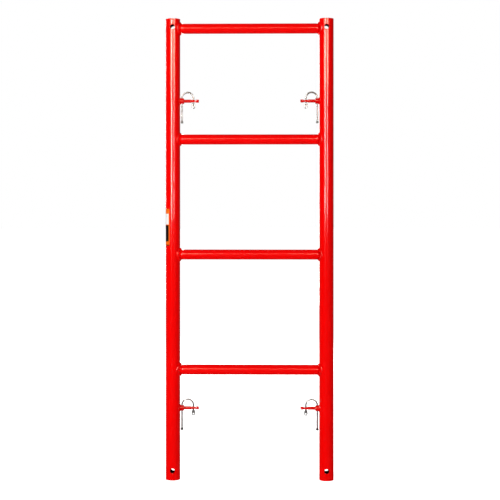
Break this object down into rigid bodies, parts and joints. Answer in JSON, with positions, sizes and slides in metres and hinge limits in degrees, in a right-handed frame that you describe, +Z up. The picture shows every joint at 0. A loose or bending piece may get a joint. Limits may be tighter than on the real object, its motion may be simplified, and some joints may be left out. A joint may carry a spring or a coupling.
{
  "type": "frame scaffold section",
  "caption": "Ladder-type end frame of a narrow scaffold: round legs, welded round rungs, and brace studs whose drop locks lift.",
  "frame": {"origin": "on the floor, midway between the two legs", "axes": "+Z up along the legs, +X across the frame to the right leg, +Y through the frame to the back"},
  "size_m": [0.5003, 0.0428, 1.3716],
  "materials": {
    "leg_paint": "gloss",
    "rung_paint": "gloss",
    "stud_paint": "gloss",
    "weld_paint": "gloss",
    "lock_zinc": "satin",
    "label_film": "gloss"
  },
  "bodies": {
    "frame": {"left_leg": "leg_paint", "right_leg": "leg_paint", "rung_1": "rung_paint", "rung_2": "rung_paint", "rung_3": "rung_paint", "rung_4": "rung_paint", "weld_left_1": "weld_paint", "weld_left_2": "weld_paint", "weld_left_3": "weld_paint", "weld_left_4": "weld_paint", "weld_right_1": "weld_paint", "weld_right_2": "weld_paint", "weld_right_3": "weld_paint", "weld_right_4": "weld_paint", "stud_lower_left": "stud_paint", "stud_lower_right": "stud_paint", "stud_upper_left": "stud_paint", "stud_upper_right": "stud_paint", "stud_weld_lower_left": "weld_paint", "stud_weld_lower_right": "weld_paint", "stud_weld_upper_left": "weld_paint", "stud_weld_upper_right": "weld_paint", "sticker": "label_film"},
    "lower_left_lock": {"lock_lower_left": "lock_zinc"},
    "lower_right_lock": {"lock_lower_right": "lock_zinc"},
    "upper_left_lock": {"lock_upper_left": "lock_zinc"},
    "upper_right_lock": {"lock_upper_right": "lock_zinc"}
  },
  "joints": [
    {"name": "lower_left_lock_lift", "type": "slide", "parent": "frame", "child": "lower_left_lock", "axis": [0, 0, 1], "range_m": [0, 0.05]},
    {"name": "lower_right_lock_lift", "type": "slide", "parent": "frame", "child": "lower_right_lock", "axis": [0, 0, 1], "range_m": [0, 0.05]},
    {"name": "upper_left_lock_lift", "type": "slide", "parent": "frame", "child": "upper_left_lock", "axis": [0, 0, 1], "range_m": [0, 0.05]},
    {"name": "upper_right_lock_lift", "type": "slide", "parent": "frame", "child": "upper_right_lock", "axis": [0, 0, 1], "range_m": [0, 0.05]}
  ]
}
